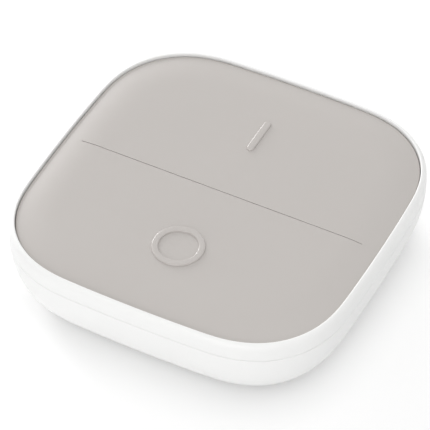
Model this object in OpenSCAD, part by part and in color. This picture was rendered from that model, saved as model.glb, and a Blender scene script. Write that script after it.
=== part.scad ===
/* [Case] */
// Room round the battery bay, from its end walls to the case's widest line
side_room = 11.2; // [10.2:0.1:16]
// How far each side stands out in its middle from a true square
side_crown = 1.55; // [0:0.05:2.5]
// Size of the rounded corners of the frame's opening
corner_r = 20.1; // [16:0.1:26]
// Fullness of the corner curve, where 2 is a circular arc
corner_fullness = 2.66; // [2:0.02:3.4]
// Width of the frame's lip, from the opening to the outer side
lip_w = 1.2; // [1:0.05:1.8]
// Height of the frame's outer side, from the lip down to the seam
frame_side_h = 4; // [3:0.1:4.8]
// Small rounding on the inner edge of the lip
edge_break = 0.2; // [0.1:0.05:0.4]
// Height over which the lip rolls down to the frame's outer side
lip_roll_h = 2; // [0.8:0.1:2.8]
// Small bevel on both sides of the seam
seam_bevel = 0.15; // [0.05:0.05:0.3]
// How far the side rolls in from the seam to the underside
under_inset = 7.6; // [4:0.1:9]
// Thickness of the lower housing's side wall
wall_t = 1.6; // [1.2:0.1:2]
// Thickness of the lower housing's floor
floor_t = 2.2; // [2:0.1:2.6]

/* [Cover] */
// Thickness of the cover's two keys at their outer edge
key_t = 1.1; // [1:0.1:1.8]
// Depth of the cover's outer edge below the lip
key_recess = 0.7; // [0.4:0.05:0.9]
// How far the cover's face swells from its outer edge to its flat middle
key_swell = 0.95; // [0:0.05:1.2]
// Width of the band over which the cover's face swells
swell_band = 8; // [5:0.5:10]
// Gap between the cover's edge and the frame
key_gap = 0.25; // [0.15:0.05:0.5]
// Room under the keys for their travel
key_room = 1.2; // [1.1:0.05:1.6]
// Width of the slit between the two keys
slit_w = 0.3; // [0.25:0.05:0.8]
// Length of each bridge that joins the keys past the slit's ends
bridge_l = 3.75; // [3:0.05:6]
// Width of each bridge
bridge_w = 2; // [1.6:0.1:3]
// Clearance at the living hinges, where the keys bend
hinge_clear = 0.08; // [0.05:0.01:0.15]
// Radius of the raised ring's centre line
ring_r = 4.75; // [4:0.05:6]
// Width of the ridge that draws the ring
ring_w = 1.6; // [1.2:0.1:2]
// Place of the raised ring, from the slit
ring_y = 17.65; // [15:0.05:20]
// Length of the raised bar
bar_len = 9.3; // [6:0.1:12]
// Width of the ridge that draws the bar
bar_w = 1.6; // [1.2:0.1:2]
// Place of the raised bar's middle, from the slit
bar_y = 17.65; // [15:0.05:20]
// Height of both raised marks
mark_h = 0.4; // [0.2:0.05:0.6]

/* [Deck] */
// Thickness of the switch deck
deck_t = 1; // [0.8:0.1:1.5]
// Clearance between the deck and the frame's inner wall
deck_gap = 0.15; // [0.1:0.05:0.3]
// Width of the frame's inner flange, which the deck clamps
flange_w = 1.6; // [1:0.1:2]
// Thickness of the frame's inner flange
flange_t = 1.3; // [0.9:0.1:1.6]
// Clearance of the frame's tongue in the housing
tongue_clear = 0.1; // [0.05:0.05:0.2]

/* [Battery bay] */
// Diameter of an AAA cell
cell_d = 10.5; // [9.8:0.1:10.8]
// Length of an AAA cell over its cap
cell_len = 44.5; // [43.5:0.1:45]
// Room left for each compressed spring
spring_len = 3.9; // [3.6:0.1:4.4]
// Diameter of the spring wire
wire_d = 0.6; // [0.4:0.05:0.65]
// Clearance between the cells and the bay
cell_clear = 0.3; // [0.2:0.05:0.5]
// Thickness of the bay's side walls
bay_wall = 1.2; // [0.8:0.1:1.4]
// Thickness of the bay's roof
roof_t = 0.9; // [0.7:0.1:1.2]
// Clearance between the bay's roof and the deck
roof_gap = 0.2; // [0.1:0.05:0.4]
// Thickness of the battery door
door_t = 1.4; // [1.2:0.1:1.5]
// Overlap of the door on the ledge round the bay
door_lap = 1; // [0.8:0.1:1.2]
// Gap round the battery door
door_gap = 0.2; // [0.15:0.05:0.3]
// Thickness of the contact plates
contact_t = 0.4; // [0.3:0.05:0.5]

/* [Board] */
// Air between the switches' cover plates and the deck
plate_to_deck = 1.4; // [1:0.1:2]
// Thickness of the circuit board
board_t = 1; // [0.8:0.1:1.2]
// Gap between the circuit board and the housing's wall
board_gap = 1; // [0.6:0.1:1.5]
// Gap between the circuit board and the battery bay
window_gap = 0.4; // [0.2:0.1:0.8]

/* [Switches] */
// Land on the circuit board between its window and each switch
switch_land = 1.4; // [0.8:0.1:3]
// Width of a square tact switch
switch_w = 6; // [5.6:0.1:6.4]
// Height of the switch's base
switch_base_h = 3.4; // [3.2:0.1:3.6]
// Thickness of the switch's steel cover plate
switch_plate_t = 0.2; // [0.15:0.05:0.3]
// Radius of the switch's plunger
plunger_r = 1.75; // [1.5:0.05:1.9]
// Height of the pressed plunger above the cover plate
plunger_stand = 1.1; // [0.8:0.1:1.3]
// Travel of the plunger
plunger_travel = 0.3; // [0.2:0.02:0.34]
// Rest gap between a key's pusher and its plunger
pusher_gap = 0.06; // [0.05:0.01:0.1]
// Radius of a key's pusher
pusher_r = 1.6; // [1.3:0.1:1.8]

/* [Screws and feet] */
// Radius of a rubber foot
foot_r = 4; // [3.5:0.1:4.4]
// Thickness of a rubber foot
foot_t = 1; // [0.9:0.1:1.3]
// How far the feet stand below the underside
foot_proud = 0.5; // [0.4:0.05:0.7]
// Distance from the flat underside's edge to a foot
foot_edge = 3.85; // [3.4:0.05:4.4]
// Radius of a case screw's shank
screw_r = 0.95; // [0.8:0.05:1.1]
// Radius of a case screw's head
screw_head_r = 1.9; // [1.6:0.1:2.1]
// Height of a case screw's head
screw_head_h = 1.3; // [1:0.1:1.5]
// How far a case screw's tip stays below the deck's underside
screw_short = 0.9; // [0.3:0.1:3]

/* [Hidden] */
$fn = 48;

// Colours
case_white = [0.95, 0.95, 0.94];
cover_grey = [0.76, 0.74, 0.725];
deck_grey = [0.82, 0.82, 0.81];
rubber_grey = [0.35, 0.35, 0.36];
board_green = [0.1, 0.38, 0.24];
steel = [0.78, 0.79, 0.8];
spring_steel = [0.7, 0.71, 0.73];
black_plastic = [0.1, 0.1, 0.11];
sleeve_blue = [0.2, 0.28, 0.42];
chip_black = [0.13, 0.13, 0.14];
ceramic = [0.72, 0.6, 0.45];

// Steps along the straight part of a side, round a corner, up the rolled profiles and up the cover's swell
side_steps = 5;
corner_steps = 12;
roll_steps = 10;
lip_steps = 5;
swell_steps = 5;

// Overrun that lets a cut pass clean through
over = 1;

// Air between the cells and the bay's roof
roof_air = 0.2;

// Levels from the resting plane up
base_z = foot_proud;
floor_z = base_z + floor_t;
cell_z = base_z + door_t + cell_clear + cell_d / 2;
bay_top_z = cell_z + cell_d / 2 + roof_air;
roof_z = bay_top_z + roof_t;
deck_z = roof_z + roof_gap;
switch_top_z = deck_z - plate_to_deck - switch_plate_t;
board_top_z = switch_top_z - switch_base_h;
board_z = board_top_z - board_t;
deck_top_z = deck_z + deck_t;
key_z = deck_top_z + key_room;
key_edge_z = key_z + key_t;
key_top_z = key_edge_z + key_swell;
lip_z = key_edge_z + key_recess;
seam_z = lip_z - frame_side_h;

// The housing's rolled side is a quarter ellipse of these two half axes
roll_h = seam_z - base_z;
roll_w = under_inset;

// The frame's tongue stands in the inner half of the housing's wall
tongue_out = lip_w / 2 - tongue_clear * 2;

// Bay, door and board window, all from the cells
cell_parting = 0.4;
cell_y = (cell_d + cell_parting) / 2;
bay_half_l = (cell_len + spring_len) / 2 + contact_t;
bay_half_w = cell_y + cell_d / 2 + cell_clear;
door_half_l = bay_half_l + door_lap;
door_half_w = bay_half_w + door_lap;
door_corner_r = 1.5;
bay_out_l = bay_half_l + bay_wall;
bay_out_w = bay_half_w + bay_wall;
window_half_l = bay_out_l + window_gap;
window_half_w = bay_out_w + window_gap;
door_air = 0.1;

// The case's width, the opening's half width at its corners' square, and the cover's half width
case_w = 2 * (bay_out_l + side_room);
open_half = case_w / 2 - side_crown - lip_w;
cover_half = open_half + side_crown - key_gap;
slit_half = cover_half - bridge_l;
switch_y = window_half_w + switch_land + switch_w / 2;

// Door tabs, latch and thumb scoop
tab_w = 1.8;
tab_t = 0.7;
tab_air = 0.3;
riser_t = 0.8;
riser_gap = 0.2;
tab_y = bay_half_w - riser_gap - tab_w / 2;
latch_w = 2.8;
barb = 0.35;
scoop_r = 14;
scoop_depth = 0.6;
scoop_in = 5;

// Cells and contacts
cap_r = 1.9;
cap_h = 1;
can_bevel = 0.4;
plate_in_low = 2.05;
plate_in_high = 1.95;
plate_in_side = 1.05;
plate_low = cell_d / 2 - plate_in_low;
plate_high = cell_d / 2 - plate_in_high;
plate_half_w = cell_d / 2 - plate_in_side;
tail_w = 2;
tail_t = 0.3;
tail_len = 2.7;
tail_slot_gap = 0.15;
spring_in = 1.95;
spring_taper = 1.3;
spring_base_r = cell_d / 2 - spring_in;
spring_tip_r = spring_base_r - spring_taper;
spring_turns = 2.25;
curl_rings = 8;
wire_sides = 6;

// Feet, screws and their bosses
under_half = open_half + lip_w - under_inset;
foot_xy = under_half - foot_edge - foot_r;
foot_clear = 0.1;
seat_depth = 3.2;
screw_seat_z = base_z + seat_depth;
screw_clear = 0.15;
pilot_clear = 0.03;
head_clear = 0.2;
screw_len = deck_z - screw_short - screw_seat_z;
boss_r = 3.1;
deck_boss_r = 2.6;
pilot_spare = 0.35;
drive_r = 0.9;
drive_depth = 0.7;
board_screw_x = 9;
board_screw_r = 0.85;
board_screw_len = 4.6;
board_head_r = 1.7;
board_head_h = 1.1;
board_boss_r = 2;

// Key hinges, pushers, ribs and hooks
hinge_y = bridge_w / 2;
bridge_post_r = 0.5;
bridge_pad_in = 0.2;
bridge_x = slit_half + bridge_l / 2;
pusher_window_gap = 0.6;
rib_t = 0.8;
rib_h = 0.45;
rib_from = 3;
rib_short = 4.1;
rib_x = 10;
hook_x = 14;
hook_w = 5;
hook_t = 1;
hook_barb = 0.7;
hook_barb_h = 0.8;
hook_edge = 3;
hook_air = 0.12;
hook_window_gap = 0.35;
hook_y = open_half + side_crown - hook_edge - hook_barb - hook_t;
rib_to = hook_y - rib_short;
rib_place = [-rib_x, 0, rib_x];

// Width of the rounded shoulder on each side of a raised mark's ridge
ridge_side = 0.4;

// Switch insides
cavity_wall = 0.4;
cavity_gap = 0.4;
cavity_r = switch_w / 2 - cavity_wall;
dome_r = cavity_r - cavity_gap;
flange_r = cavity_r - cavity_gap;
dome_h = 0.75;
dome_t = 0.15;
flange_h = 0.5;
flange_air = 0.05;
dome_air = 0.05;
stem_gap = 0.1;
pin_in_x = 0.75;
pin_in_y = 0.6;
pin_x = switch_w / 2 - pin_in_x;
pin_y = switch_w / 2 - pin_in_y;
pin_r = 0.35;
pin_hole_gap = 0.1;
pin_below = 1;
plunger_top_z = switch_top_z + switch_plate_t + plunger_stand + plunger_travel;
cavity_z = switch_top_z - flange_air - flange_h - dome_air - dome_h;

// Radio module, beside a screw's boss and near the board's far edge
module_w = 9.4;
module_l = 13;
module_gap = 0.6;
module_edge = 1.2;
module_x = foot_xy - deck_boss_r - module_gap - module_w / 2;
module_y = open_half + side_at(board_z) - wall_t - board_gap - module_edge - module_l / 2;
module_t = 0.8;
can_w = 8.2;
can_l = 9;
can_h = 2;
can_wall = 0.2;
can_shift = 1.4;
chip_w = 5;
chip_h = 0.9;
chip_shift = 1.4;
crystal_w = 2.5;
crystal_l = 2;
crystal_h = 0.7;
crystal_shift = 2.7;
regulator_w = 2.9;
regulator_l = 1.6;
regulator_h = 1.1;
cap_w = 1.6;
cap_l = 0.8;
cap_t = 0.8;
res_w = 1;
res_l = 0.5;
res_t = 0.35;

// Places on the board, as shares of its half width along X, and of the land beside its window along Y
regulator_share = [-0.28, 0.59];
capacitor_shares = [[-0.19, 0.48], [-0.19, 0.69], [-0.37, 0.48], [-0.37, 0.69], [-0.41, -0.59]];
resistor_shares = [
    [-0.19, -0.53], [-0.19, -0.64], [-0.19, -0.74],
    [0.25, -0.59], [0.25, -0.69], [0.41, -0.59]
];

// One quarter of the rounded square, from the middle of the +X side to the middle of the +Y side
function quarter(a, r) = concat(
    [for (i = [0 : side_steps - 1]) [a, (a - r) * i / side_steps]],
    [for (i = [0 : corner_steps]) let (t = 90 * i / corner_steps)
        [a - r + r * pow(cos(t), 2 / corner_fullness), a - r + r * pow(sin(t), 2 / corner_fullness)]],
    [for (i = [1 : side_steps - 1]) [(a - r) * (1 - i / side_steps), a]]
);

function turned(p, q) = [p.x * cos(90 * q) - p.y * sin(90 * q), p.x * sin(90 * q) + p.y * cos(90 * q)];

// A side stands out by the crown in its middle, and by nothing at the corners' square
function crowned(p, a) = [
    p.x + sign(p.x) * side_crown * pow(abs(p.x) / a, 4) * (1 - pow(p.y / a, 2)),
    p.y + sign(p.y) * side_crown * pow(abs(p.y) / a, 4) * (1 - pow(p.x / a, 2))
];

// The case's outline at a distance outside the opening's edge, or inside it where that is negative
function outline(off) = let (a = open_half + off, r = corner_r + off)
    [for (q = [0 : 3]) for (p = quarter(a, r)) crowned(turned(p, q), a)];

ring_size = len(outline(0));

function ring_points(profile) = [for (p = profile) each [for (c = outline(p.x)) [c.x, c.y, p.y]]];

// Two triangles for each square between ring i and ring k
function band(i, k) = [for (j = [0 : ring_size - 1]) let (n = (j + 1) % ring_size)
    each [
        [i * ring_size + j, k * ring_size + j, k * ring_size + n],
        [i * ring_size + j, k * ring_size + n, i * ring_size + n]
    ]];

// A closed hoop whose section is a loop of [distance, height] points
module hoop(profile) {
    m = len(profile);
    polyhedron(ring_points(profile), [for (i = [0 : m - 1]) each band(i, (i + 1) % m)]);
}

// A closed body whose section runs from the edge of its flat underside, over its side, to the edge of a
// flat face that looks up: its top, or its floor where it is hollow
module lofted(profile) {
    m = len(profile);
    under = [for (j = [0 : ring_size - 1]) j];
    top = [for (j = [ring_size - 1 : -1 : 0]) (m - 1) * ring_size + j];
    polyhedron(ring_points(profile), concat([under, top], [for (i = [0 : m - 2]) each band(i, i + 1)]));
}

// How far the housing's outer side stands from the opening's edge at a height
function side_at(z) = lip_w - roll_w * (1 - sqrt(1 - pow((seam_z - min(z, seam_z)) / roll_h, 2)));

board_off = side_at(board_z) - wall_t - board_gap;

// A place on the board from its shares
function board_spot(share) = [
    share.x * (open_half + board_off),
    sign(share.y) * (window_half_w + abs(share.y) * (open_half + board_off - window_half_w))
];

function round_rect(hx, hy, r) = [for (q = [0 : 3]) for (i = [0 : 4]) let (t = 90 * q + 90 * i / 4)
    [(q == 0 || q == 3 ? 1 : -1) * (hx - r) + r * cos(t), (q < 2 ? 1 : -1) * (hy - r) + r * sin(t)]];

module plate(points, low, high) {
    translate([0, 0, low]) linear_extrude(high - low) polygon(points);
}

module block(low, high) {
    translate(low) cube(high - low);
}

module post(at, r, low, high) {
    translate([at.x, at.y, low]) cylinder(r = r, h = high - low);
}

module four(d) {
    for (x = [-d, d]) for (y = [-d, d]) translate([x, y, 0]) children();
}

// Half of a ridge's section: a rounded shoulder and a flat top, and a root that goes down into the key
function ridge(w) = concat(
    [for (i = [0 : lip_steps]) let (t = 90 * i / lip_steps)
        [w / 2 - ridge_side * (1 - cos(t)), sin(t) * mark_h]],
    [[0, mark_h], [0, -mark_h], [w / 2, -mark_h]]
);

function mirrored(points) = [for (p = points) [-p.x, p.y]];

module upper_frame() {
    roll = lip_w - edge_break;
    color(case_white) hoop(concat(
        [
            [-flange_w, deck_z],
            [-flange_w, deck_z - flange_t],
            [tongue_out, deck_z - flange_t],
            [tongue_out, seam_z],
            [lip_w - seam_bevel, seam_z],
            [lip_w, seam_z + seam_bevel]
        ],
        [for (i = [0 : lip_steps]) let (t = 90 * i / lip_steps)
            [edge_break + roll * cos(t), lip_z - lip_roll_h * (1 - sin(t))]],
        [for (i = [1 : 2]) let (t = 90 + 45 * i)
            [edge_break + edge_break * cos(t), lip_z - edge_break + edge_break * sin(t)]],
        [[0, deck_z]]
    ));
}

module lower_housing() {
    rebate_z = deck_z - flange_t - tongue_clear;
    color(case_white) difference() {
        union() {
            lofted(concat(
                [for (i = [0 : roll_steps]) let (t = 90 - 90 * i / roll_steps, z = seam_z - roll_h * sin(t))
                    [lip_w - roll_w * (1 - cos(t)), min(z, seam_z - seam_bevel)]],
                [
                    [lip_w - seam_bevel, seam_z],
                    [tongue_out + tongue_clear, seam_z],
                    [tongue_out + tongue_clear, rebate_z]
                ],
                [for (i = [0 : roll_steps]) let (z = rebate_z + (floor_z - rebate_z) * i / roll_steps)
                    [side_at(z) - wall_t, z]]
            ));
            block([-bay_out_l, -bay_out_w, base_z + door_t], [bay_out_l, bay_out_w, roof_z]);
            four(foot_xy) post([0, 0], boss_r, floor_z - floor_t / 2, board_z);
            for (s = [-1, 1])
                post([-s * board_screw_x, s * switch_y], board_boss_r, floor_z - floor_t / 2, board_z);
        }
        block([-bay_half_l, -bay_half_w, base_z], [bay_half_l, bay_half_w, bay_top_z]);
        plate(
            round_rect(door_half_l + door_gap, door_half_w + door_gap, door_corner_r),
            base_z - over, base_z + door_t + door_air
        );
        for (s = [-1, 1]) block(
            [-bay_out_l - over, s * tab_y - tab_w / 2 - riser_gap, floor_z],
            [-bay_half_l + over, s * tab_y + tab_w / 2 + riser_gap, floor_z + tab_air * 2 + tab_t]
        );
        for (s = [-1, 1]) block(
            [-bay_out_l - over, s * cell_y - tail_w / 2 - tail_slot_gap, board_top_z - tail_slot_gap],
            [
                -bay_half_l + over, s * cell_y + tail_w / 2 + tail_slot_gap,
                board_top_z + tail_t + tail_slot_gap
            ]
        );
        block(
            [bay_half_l - over, -latch_w / 2 - riser_gap, base_z + door_t],
            [bay_half_l + barb, latch_w / 2 + riser_gap, floor_z + tab_air * 2 + tab_t]
        );
        four(foot_xy) {
            post([0, 0], foot_r + foot_clear, base_z - over, foot_t);
            post([0, 0], screw_head_r + head_clear, base_z - over, screw_seat_z);
            post([0, 0], screw_r + screw_clear, base_z - over, board_z + over);
        }
        for (s = [-1, 1])
            post([-s * board_screw_x, s * switch_y], board_screw_r + pilot_clear, floor_z, board_z + over);
    }
}

module battery_door() {
    tab_z = floor_z + tab_air;
    inner_z = base_z + door_t;
    color(case_white) difference() {
        union() {
            plate(round_rect(door_half_l, door_half_w, door_corner_r), base_z, inner_z);
            for (s = [-1, 1]) {
                block(
                    [-bay_half_l + riser_gap, s * tab_y - tab_w / 2, inner_z - door_t / 2],
                    [-bay_half_l + riser_gap + riser_t, s * tab_y + tab_w / 2, tab_z + tab_t]
                );
                block(
                    [-bay_out_l, s * tab_y - tab_w / 2, tab_z],
                    [-bay_half_l + riser_gap + riser_t, s * tab_y + tab_w / 2, tab_z + tab_t]
                );
            }
            block(
                [bay_half_l - riser_gap - riser_t, -latch_w / 2, inner_z - door_t / 2],
                [bay_half_l - riser_gap, latch_w / 2, tab_z + tab_t]
            );
            block(
                [bay_half_l - riser_gap - riser_t / 2, -latch_w / 2, tab_z],
                [bay_half_l - riser_gap + barb, latch_w / 2, tab_z + tab_t]
            );
        }
        translate([door_half_l - scoop_in, 0, base_z + scoop_depth - scoop_r]) sphere(r = scoop_r);
    }
}

module rubber_feet() {
    color(rubber_grey) four(foot_xy) cylinder(r = foot_r, h = foot_t);
}

module screw(head_r, head_h, shank_r, shank_len) {
    difference() {
        union() {
            translate([0, 0, -head_h]) cylinder(r = head_r, h = head_h);
            cylinder(r = shank_r, h = shank_len);
        }
        translate([0, 0, -head_h]) cylinder(r = drive_r, h = drive_depth, $fn = 6);
    }
}

module housing_screws() {
    color(steel) four(foot_xy)
        translate([0, 0, screw_seat_z]) screw(screw_head_r, screw_head_h, screw_r, screw_len);
}

module board_screws() {
    color(steel) for (s = [-1, 1])
        translate([-s * board_screw_x, s * switch_y, board_top_z])
            mirror([0, 0, 1]) screw(board_head_r, board_head_h, board_screw_r, board_screw_len);
}

// The whole cover before the slit and the hinges part it: its face swells from its edge to a flat middle
module cover_slab() {
    lofted(concat(
        [[-key_gap, key_z]],
        [for (i = [0 : swell_steps]) let (s = i / swell_steps)
            [-key_gap - swell_band * s, key_edge_z + key_swell * (1 - pow(1 - s, 2))]]
    ));
}

module bridge_cut(grow) {
    for (s = [0, 1]) mirror([s, 0, 0]) block(
        [slit_half - grow, -hinge_y - grow, key_z - over],
        [case_w / 2, hinge_y + grow, key_top_z + over]
    );
}

// A key on the +Y side of the slit, with its ribs, pusher and hooks, and its mark as a child
module key() {
    difference() {
        cover_slab();
        block([-case_w / 2, -case_w / 2, key_z - over], [case_w / 2, slit_w / 2, key_top_z + over]);
        bridge_cut(hinge_clear);
    }
    translate([0, 0, key_top_z]) children();
    post([0, switch_y], pusher_r, plunger_top_z + pusher_gap, key_z + key_t / 2);
    for (x = rib_place)
        block([x - rib_t / 2, rib_from, key_z - rib_h], [x + rib_t / 2, rib_to, key_z + key_t / 2]);
    for (x = [-hook_x, hook_x]) {
        barb_z = deck_z - hook_air;
        block(
            [x - hook_w / 2, hook_y, barb_z - hook_barb_h],
            [x + hook_w / 2, hook_y + hook_t, key_z + key_t / 2]
        );
        block(
            [x - hook_w / 2, hook_y, barb_z - hook_barb_h],
            [x + hook_w / 2, hook_y + hook_t + hook_barb, barb_z]
        );
    }
}

module bar_mark() {
    translate([0, bar_y, 0]) {
        rotate([90, 0, 0]) linear_extrude(bar_len - bar_w, center = true) {
            polygon(ridge(bar_w));
            polygon(mirrored(ridge(bar_w)));
        }
        for (s = [-1, 1]) translate([0, s * (bar_len - bar_w) / 2, 0]) rotate_extrude() polygon(ridge(bar_w));
    }
}

module ring_mark() {
    translate([0, ring_y, 0]) rotate_extrude() {
        translate([ring_r, 0]) polygon(ridge(ring_w));
        translate([ring_r, 0]) polygon(mirrored(ridge(ring_w)));
    }
}

module on_key() {
    color(cover_grey) key() bar_mark();
}

module off_key() {
    color(cover_grey) mirror([0, 1, 0]) key() ring_mark();
}

module cover_bridges() {
    color(cover_grey) {
        intersection() {
            cover_slab();
            bridge_cut(0);
        }
        for (s = [-1, 1])
            post([s * bridge_x, 0], bridge_post_r, deck_z, key_z + key_t / 2);
    }
}

module switch_deck() {
    color(deck_grey) difference() {
        union() {
            plate(outline(-deck_gap), deck_z, deck_top_z);
            for (s = [-1, 1]) block(
                [s * bridge_x - bridge_l / 2 + bridge_pad_in, bridge_pad_in - hinge_y, deck_z + deck_t / 2],
                [s * bridge_x + bridge_l / 2 - bridge_pad_in, hinge_y - bridge_pad_in, key_z]
            );
            four(foot_xy) post([0, 0], deck_boss_r, board_top_z, deck_z + deck_t / 2);
        }
        for (s = [-1, 1]) {
            post([0, s * switch_y], pusher_r + pusher_window_gap, deck_z - over, deck_top_z + over);
            post([s * bridge_x, 0], bridge_post_r + pilot_clear, deck_z - over, key_z + over);
            for (x = [-hook_x, hook_x]) {
                low_y = hook_y - hook_window_gap;
                high_y = hook_y + hook_t + hook_window_gap;
                block(
                    [x - hook_w / 2 - hook_window_gap, s > 0 ? low_y : -high_y, deck_z - over],
                    [x + hook_w / 2 + hook_window_gap, s > 0 ? high_y : -low_y, deck_top_z + over]
                );
            }
        }
        four(foot_xy)
            post([0, 0], screw_r + pilot_clear, board_top_z - over, screw_seat_z + screw_len + pilot_spare);
    }
}

module circuit_board() {
    color(board_green) difference() {
        plate(outline(board_off), board_z, board_top_z);
        block(
            [-window_half_l, -window_half_w, board_z - over],
            [window_half_l, window_half_w, board_top_z + over]
        );
        four(foot_xy) post([0, 0], screw_r + screw_clear, board_z - over, board_top_z + over);
        for (s = [-1, 1]) {
            post(
                [-s * board_screw_x, s * switch_y], board_screw_r + screw_clear,
                board_z - over, board_top_z + over
            );
            for (x = [-pin_x, pin_x]) for (y = [-pin_y, pin_y])
                post([x, s * switch_y + y], pin_r + pin_hole_gap, board_z - over, board_top_z + over);
        }
    }
}

module switch_pins() {
    color(steel) for (s = [-1, 1]) for (x = [-pin_x, pin_x]) for (y = [-pin_y, pin_y])
        post([x, s * switch_y + y], pin_r, board_z - pin_below, board_top_z);
}

module switch_base() {
    difference() {
        block([-switch_w / 2, -switch_w / 2, board_top_z], [switch_w / 2, switch_w / 2, switch_top_z]);
        post([0, 0], cavity_r, cavity_z, switch_top_z + over);
    }
}

// A shallow snap dome: a cap of a thin sphere, whose rim stands on the cavity's floor
module switch_dome() {
    cap_out = (dome_r * dome_r + dome_h * dome_h) / (2 * dome_h);
    intersection() {
        difference() {
            translate([0, 0, cavity_z + dome_h - cap_out]) sphere(r = cap_out);
            translate([0, 0, cavity_z + dome_h - cap_out]) sphere(r = cap_out - dome_t);
        }
        post([0, 0], cavity_r, cavity_z, switch_top_z);
    }
}

module switch_plunger() {
    post([0, 0], plunger_r, switch_top_z - flange_air - flange_h / 2, plunger_top_z);
    post([0, 0], flange_r, switch_top_z - flange_air - flange_h, switch_top_z - flange_air);
}

module switch_plate() {
    difference() {
        block(
            [-switch_w / 2, -switch_w / 2, switch_top_z],
            [switch_w / 2, switch_w / 2, switch_top_z + switch_plate_t]
        );
        post([0, 0], plunger_r + stem_gap, switch_top_z - over, switch_top_z + switch_plate_t + over);
    }
}

module at_switch(side) {
    translate([0, side * switch_y, 0]) children();
}

module on_switch_base() {
    color(black_plastic) at_switch(1) switch_base();
}

module on_switch_dome() {
    color(spring_steel) at_switch(1) switch_dome();
}

module on_switch_plunger() {
    color(black_plastic) at_switch(1) switch_plunger();
}

module on_switch_plate() {
    color(steel) at_switch(1) switch_plate();
}

module off_switch_base() {
    color(black_plastic) at_switch(-1) switch_base();
}

module off_switch_dome() {
    color(spring_steel) at_switch(-1) switch_dome();
}

module off_switch_plunger() {
    color(black_plastic) at_switch(-1) switch_plunger();
}

module off_switch_plate() {
    color(steel) at_switch(-1) switch_plate();
}

// A box of a width, a length and a height that stands on a level, its middle at a place
module part_on(place, w, l, h, z) {
    block([place.x - w / 2, place.y - l / 2, z], [place.x + w / 2, place.y + l / 2, z + h]);
}

module module_board() {
    color(board_green) part_on([module_x, module_y], module_w, module_l, module_t, board_top_z);
}

module shield_can() {
    low = board_top_z + module_t;
    color(steel) difference() {
        part_on([module_x, module_y - can_shift], can_w, can_l, can_h, low);
        part_on(
            [module_x, module_y - can_shift], can_w - can_wall * 2, can_l - can_wall * 2,
            can_h - can_wall + over, low - over
        );
    }
}

module radio_chip() {
    color(chip_black) part_on(
        [module_x, module_y - can_shift - chip_shift], chip_w, chip_w, chip_h,
        board_top_z + module_t
    );
}

module crystal() {
    color(steel) part_on(
        [module_x, module_y - can_shift + crystal_shift], crystal_w, crystal_l, crystal_h,
        board_top_z + module_t
    );
}

module regulator() {
    color(chip_black)
        part_on(board_spot(regulator_share), regulator_w, regulator_l, regulator_h, board_top_z);
}

module capacitors() {
    color(ceramic) for (p = capacitor_shares) part_on(board_spot(p), cap_w, cap_l, cap_t, board_top_z);
}

module resistors() {
    color(chip_black) for (p = resistor_shares) part_on(board_spot(p), res_w, res_l, res_t, board_top_z);
}

// A cell lies along X with its cap towards +X and its flat end at the spring
module cell_can() {
    span = cell_len - cap_h;
    translate([-bay_half_l + contact_t + spring_len, cell_y, cell_z]) rotate([0, 90, 0])
        rotate_extrude() polygon([
            [0, 0],
            [cell_d / 2 - can_bevel, 0],
            [cell_d / 2, can_bevel],
            [cell_d / 2, span - can_bevel],
            [cell_d / 2 - can_bevel, span],
            [0, span]
        ]);
}

module cell_cap() {
    translate([bay_half_l - contact_t - cap_h, cell_y, cell_z])
        rotate([0, 90, 0]) cylinder(r = cap_r, h = cap_h);
}

// The second cell is the first one turned half round
module turn_half() {
    rotate([0, 0, 180]) children();
}

module cell_a_can() {
    color(sleeve_blue) cell_can();
}

module cell_b_can() {
    color(sleeve_blue) turn_half() cell_can();
}

module cell_caps() {
    color(steel) {
        cell_cap();
        turn_half() cell_cap();
    }
}

module contact_plate(low_y, high_y) {
    block([-bay_half_l, low_y, cell_z - plate_low], [-bay_half_l + contact_t, high_y, cell_z + plate_high]);
}

module contact_tail(y) {
    block(
        [-bay_out_l - tail_len, y - tail_w / 2, board_top_z],
        [-bay_half_l + contact_t / 2, y + tail_w / 2, board_top_z + tail_t]
    );
}

module negative_contact() {
    color(steel) {
        contact_plate(cell_y - plate_half_w, cell_y + plate_half_w);
        contact_tail(cell_y);
    }
}

module positive_contact() {
    color(steel) {
        contact_plate(-cell_y - plate_half_w, -cell_y + plate_half_w);
        contact_tail(-cell_y);
    }
}

module link_contact() {
    color(steel) turn_half() contact_plate(-cell_y - plate_half_w, cell_y + plate_half_w);
}

// A battery spring's centre line: out of the plate, round its curls and up to the cell
curl_steps = curl_rings * spring_turns;

function curl(i) = let (
    t = i / curl_steps,
    r = spring_base_r + (spring_tip_r - spring_base_r) * t,
    turn = 360 * spring_turns * t
) [wire_d * 1.5 + (spring_len - wire_d * 3) * t, r * cos(turn), r * sin(turn)];

spring_line = concat(
    [curl(0) - [wire_d * 1.5, 0, 0], curl(0) - [wire_d / 2, 0, 0]],
    [for (i = [0 : curl_steps]) curl(i)],
    [curl(curl_steps) + [wire_d / 2, 0, 0], curl(curl_steps) + [wire_d * 1.5, 0, 0]]
);

function unit(v) = v / norm(v);

// The wire's direction at a point, and the two directions across it
function along(path, i) = let (m = len(path) - 1)
    i == 0 || i == m ? [1, 0, 0] : unit(path[i + 1] - path[i - 1]);
function across(path, i) = let (t = along(path, i), out = [0, path[i].y, path[i].z])
    unit(out - (out * t) * t);

module tube(path, d, sides) {
    n = len(path);
    polyhedron(
        [for (i = [0 : n - 1]) let (u = across(path, i), v = cross(along(path, i), u))
            for (j = [0 : sides - 1]) let (turn = 360 * j / sides)
                path[i] + (u * cos(turn) + v * sin(turn)) * d / 2],
        concat(
            [[for (j = [0 : sides - 1]) j]],
            [[for (j = [sides - 1 : -1 : 0]) (n - 1) * sides + j]],
            [for (i = [0 : n - 2]) for (j = [0 : sides - 1]) let (k = (j + 1) % sides)
                each [
                    [i * sides + j, (i + 1) * sides + j, (i + 1) * sides + k],
                    [i * sides + j, (i + 1) * sides + k, i * sides + k]
                ]]
        )
    );
}

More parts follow.
